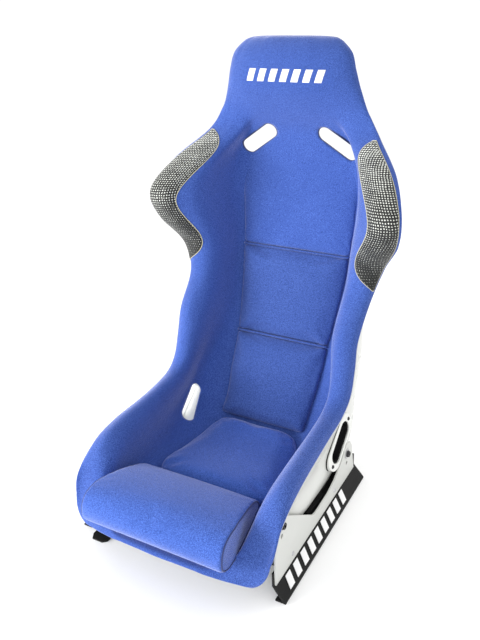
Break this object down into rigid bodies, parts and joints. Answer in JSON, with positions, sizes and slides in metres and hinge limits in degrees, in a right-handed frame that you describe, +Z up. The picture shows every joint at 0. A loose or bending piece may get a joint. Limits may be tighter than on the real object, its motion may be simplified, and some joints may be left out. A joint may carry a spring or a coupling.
{
  "type": "racing seat",
  "caption": "Fixed-back bucket racing seat with shoulder wings, belt openings, separate velour pads, and folded steel side mounts for the floor.",
  "frame": {"origin": "on the floor, under the middle of the seat's bounding box", "axes": "+Z up, the seat faces -Y, +X is to the left of the person sitting in it"},
  "size_m": [0.5882, 0.6215, 0.938],
  "materials": {
    "gelcoat": "smooth pale gelcoat, glass fibre behind it",
    "velour": "short-pile blue velour",
    "foam": "moulded seat foam",
    "woven_grey": "grey and black woven fabric",
    "white_thread": "white embroidery",
    "dark_plastic": "dark blue moulded plastic",
    "bezel_plastic": "pale moulded plastic",
    "dark_steel": "black oxide",
    "zinc_steel": "zinc plated",
    "hook_tape": "hook-and-loop tape",
    "plate_steel": "pale grey powder coat",
    "black_steel": "black powder coat",
    "white_film": "printed white film",
    "black_plastic": "black moulded plastic",
    "insert_brass": "plain brass"
  },
  "bodies": {
    "root": {"shell": "gelcoat", "velour_cover": "velour", "foam_head": "foam", "foam_back": "foam", "foam_seat": "foam", "foam_bolster_left": "foam", "foam_bolster_right": "foam", "foam_lip": "foam", "upper_back_pad": "velour", "middle_back_pad": "velour", "lower_back_pad": "velour", "seat_pad": "velour", "thigh_pad": "velour", "shoulder_patch_left": "woven_grey", "shoulder_patch_right": "woven_grey", "head_emblem": "white_thread", "shoulder_slot_liner_left": "dark_plastic", "shoulder_slot_liner_right": "dark_plastic", "lap_slot_bezel_left": "bezel_plastic", "lap_slot_bezel_right": "bezel_plastic", "bezel_screws": "dark_steel", "insert_plate_left": "zinc_steel", "insert_plate_right": "zinc_steel", "fastener_strips": "hook_tape", "side_plate_left": "plate_steel", "side_plate_right": "plate_steel", "base_rail_left": "black_steel", "base_rail_right": "black_steel", "rail_bars_left": "white_film", "rail_bars_right": "white_film", "rail_rivets": "zinc_steel", "seat_bolts": "dark_steel", "bolt_washers": "zinc_steel", "bolt_spacers": "black_plastic", "threaded_inserts": "insert_brass"}
  },
  "joints": []
}
